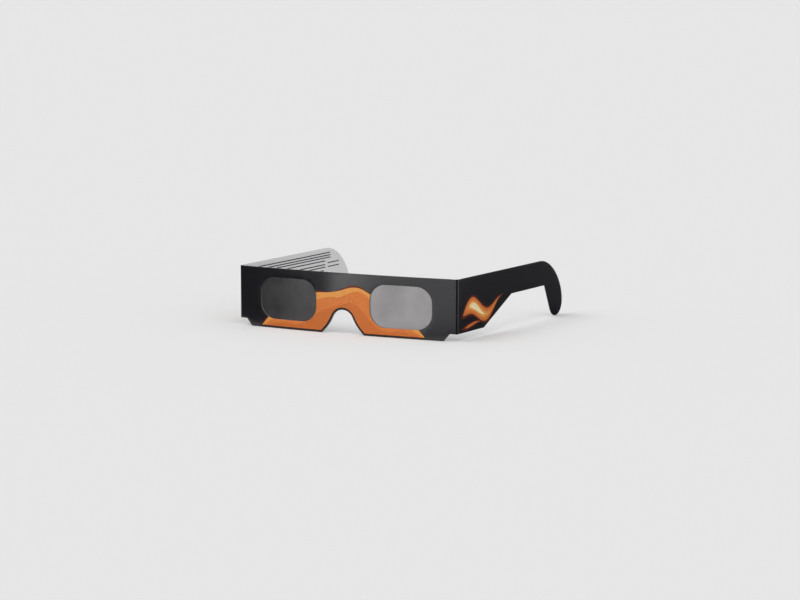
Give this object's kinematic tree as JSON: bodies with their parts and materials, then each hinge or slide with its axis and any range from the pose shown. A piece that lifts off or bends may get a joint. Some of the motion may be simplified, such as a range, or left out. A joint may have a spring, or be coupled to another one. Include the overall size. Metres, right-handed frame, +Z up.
{
  "type": "eclipse glasses",
  "caption": "Folding card glasses with filter-film windows, a nose notch, stepped lower corners and creased arms with ear hooks.",
  "frame": {"origin": "middle of the outline seen from above, on the surface that the front's lower edge and the hook tips stand on", "axes": "+Z up, the printed front faces -Y, the arms run back along +Y, +X is the wearer's left"},
  "size_m": [0.146, 0.1336, 0.0342],
  "materials": {
    "printed_card": "satin",
    "plain_card": "matte",
    "adhesive": "matte",
    "filter_film": "satin"
  },
  "bodies": {
    "front": {"front_card": "printed_card", "rear_card": "plain_card", "card_adhesive": "adhesive", "left_film_tape": "adhesive", "right_film_tape": "adhesive", "left_filter_film": "filter_film", "right_filter_film": "filter_film"},
    "left_arm": {"left_temple": "printed_card"},
    "right_arm": {"right_temple": "printed_card"}
  },
  "joints": [
    {"name": "left_fold", "type": "hinge", "parent": "front", "child": "left_arm", "pos_m": [0.0693, -0.06213, 0.0192], "axis": [0, 0, 1], "range_deg": [-82, 86.5]},
    {"name": "right_fold", "type": "hinge", "parent": "front", "child": "right_arm", "pos_m": [-0.0693, -0.06213, 0.0192], "axis": [0, 0, -1], "range_deg": [-82, 91.3]}
  ]
}
